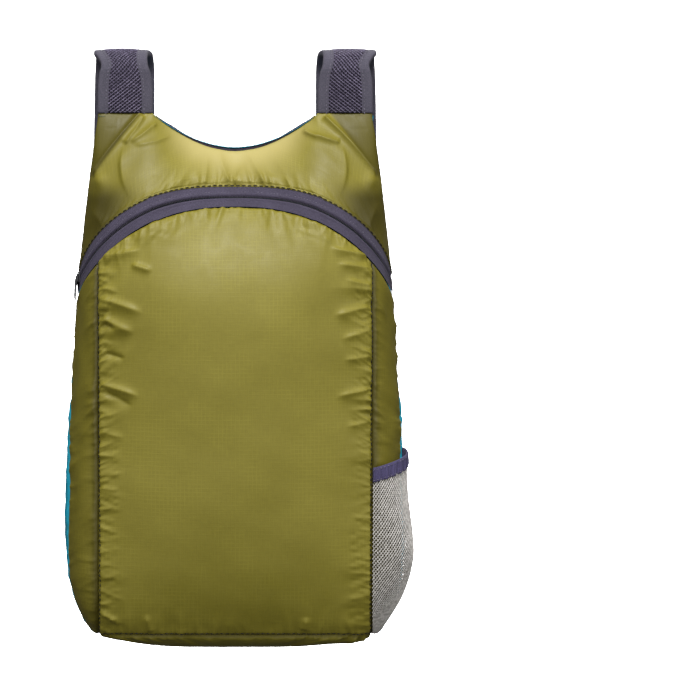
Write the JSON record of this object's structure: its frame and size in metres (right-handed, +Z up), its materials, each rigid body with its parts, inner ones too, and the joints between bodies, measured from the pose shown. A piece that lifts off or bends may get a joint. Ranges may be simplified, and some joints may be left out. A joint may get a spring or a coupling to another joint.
{
  "type": "packable daypack",
  "caption": "Thin coated nylon daypack with an arched front zip, a net side pocket and padded shoulder straps, filled out and hanging by the straps.",
  "frame": {"origin": "midway between the undersides of the two strap crowns, on the line of the bar or hooks that the bag hangs from", "axes": "+Z up, +X to the bag's right as seen from its front, -Y out of the front towards the viewer"},
  "size_m": [0.2756, 0.1582, 0.4763],
  "materials": {
    "olive_nylon": "thin coated ripstop nylon with a soft sheen",
    "turquoise_nylon": "thin coated ripstop nylon with a soft sheen",
    "slate_tape": "matt woven tape",
    "spacer_net": "matt open spacer net with lilac strands",
    "white_net": "matt open knitted net",
    "black_plastic": "moulded acetal, slightly grained"
  },
  "bodies": {
    "root": {"front_panel": "olive_nylon", "yoke_panel": "olive_nylon", "side_panel_left": "olive_nylon", "side_panel_right": "olive_nylon", "back_panel": "turquoise_nylon", "bottom_panel": "olive_nylon", "zip_tape_upper": "slate_tape", "zip_tape_lower": "slate_tape", "zip_coil": "slate_tape", "zip_slider": "black_plastic", "neck_piping": "slate_tape", "strap_left_pad": "spacer_net", "strap_left_binding_outer": "slate_tape", "strap_left_binding_inner": "slate_tape", "strap_left_webbing": "slate_tape", "strap_left_buckle": "black_plastic", "strap_right_pad": "spacer_net", "strap_right_binding_outer": "slate_tape", "strap_right_binding_inner": "slate_tape", "strap_right_webbing": "slate_tape", "strap_right_buckle": "black_plastic", "pocket_net": "white_net", "pocket_binding": "slate_tape"}
  },
  "joints": []
}
